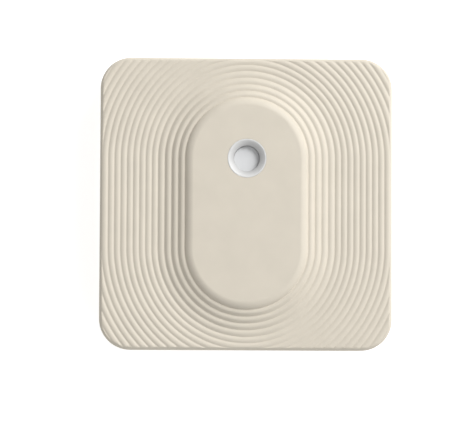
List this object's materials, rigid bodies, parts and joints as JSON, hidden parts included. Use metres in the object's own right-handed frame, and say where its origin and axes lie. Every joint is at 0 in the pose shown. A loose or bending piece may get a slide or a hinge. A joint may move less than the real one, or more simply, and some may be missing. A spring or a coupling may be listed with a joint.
{
  "type": "temperature humidity sensor",
  "caption": "Square room sensor for temperature and humidity with a ribbed flared face, raised oval plateau, lit ring, push button and coin cell",
  "frame": {"origin": "Middle of the footprint, on the surface that the mounting tape lies on", "axes": "+Z out of the ribbed face, +Y towards the button end of the plateau, +X to the right of the face"},
  "size_m": [0.037, 0.037, 0.009],
  "materials": {
    "housing": "fine moulded texture",
    "light_ring": "milky light guide",
    "button": "smooth",
    "switch_plastic": "moulded",
    "spring_metal": "tin plated",
    "board": "solder mask",
    "ceramic": "fired",
    "frame": "moulded",
    "screw": "nickel plated",
    "cell_metal": "drawn",
    "seal": "matt",
    "tape": "foam"
  },
  "bodies": {
    "housing": {"front_housing": "housing", "light_ring": "light_ring", "switch_base": "switch_plastic", "switch_plate": "spring_metal", "switch_dome": "spring_metal", "switch_terminals": "spring_metal", "circuit_board": "board", "radio_module": "board", "shield_can": "spring_metal", "chip_antenna": "ceramic", "timing_crystal": "cell_metal", "indicator_led": "light_ring", "board_passives": "ceramic", "climate_sensor": "switch_plastic", "port_filter": "light_ring", "battery_frame": "frame", "frame_screws": "screw", "positive_contact": "spring_metal", "negative_contact": "spring_metal"},
    "button": {"control_button": "button", "switch_plunger": "switch_plastic"},
    "cover": {"back_cover": "housing", "mounting_tape": "tape"},
    "coin_cell": {"cell_can": "cell_metal", "cell_cap": "cell_metal", "cell_seal": "seal"}
  },
  "joints": [
    {"name": "button_press", "type": "slide", "parent": "housing", "child": "button", "axis": [0, 0, -1], "range_m": [0, 0.00022], "stiffness_N_per_m": 4000, "deforming": ["switch_dome"]},
    {"name": "cover_lift", "type": "slide", "parent": "housing", "child": "cover", "axis": [0, 0, -1], "range_m": [0, 0.014]},
    {"name": "cell_drop", "type": "slide", "parent": "housing", "child": "coin_cell", "axis": [0, 0, -1], "range_m": [0, 0.007]}
  ],
  "couplings": [
    {"joint": "cell_drop", "follows": "cover_lift", "ratio": 0.5}
  ]
}
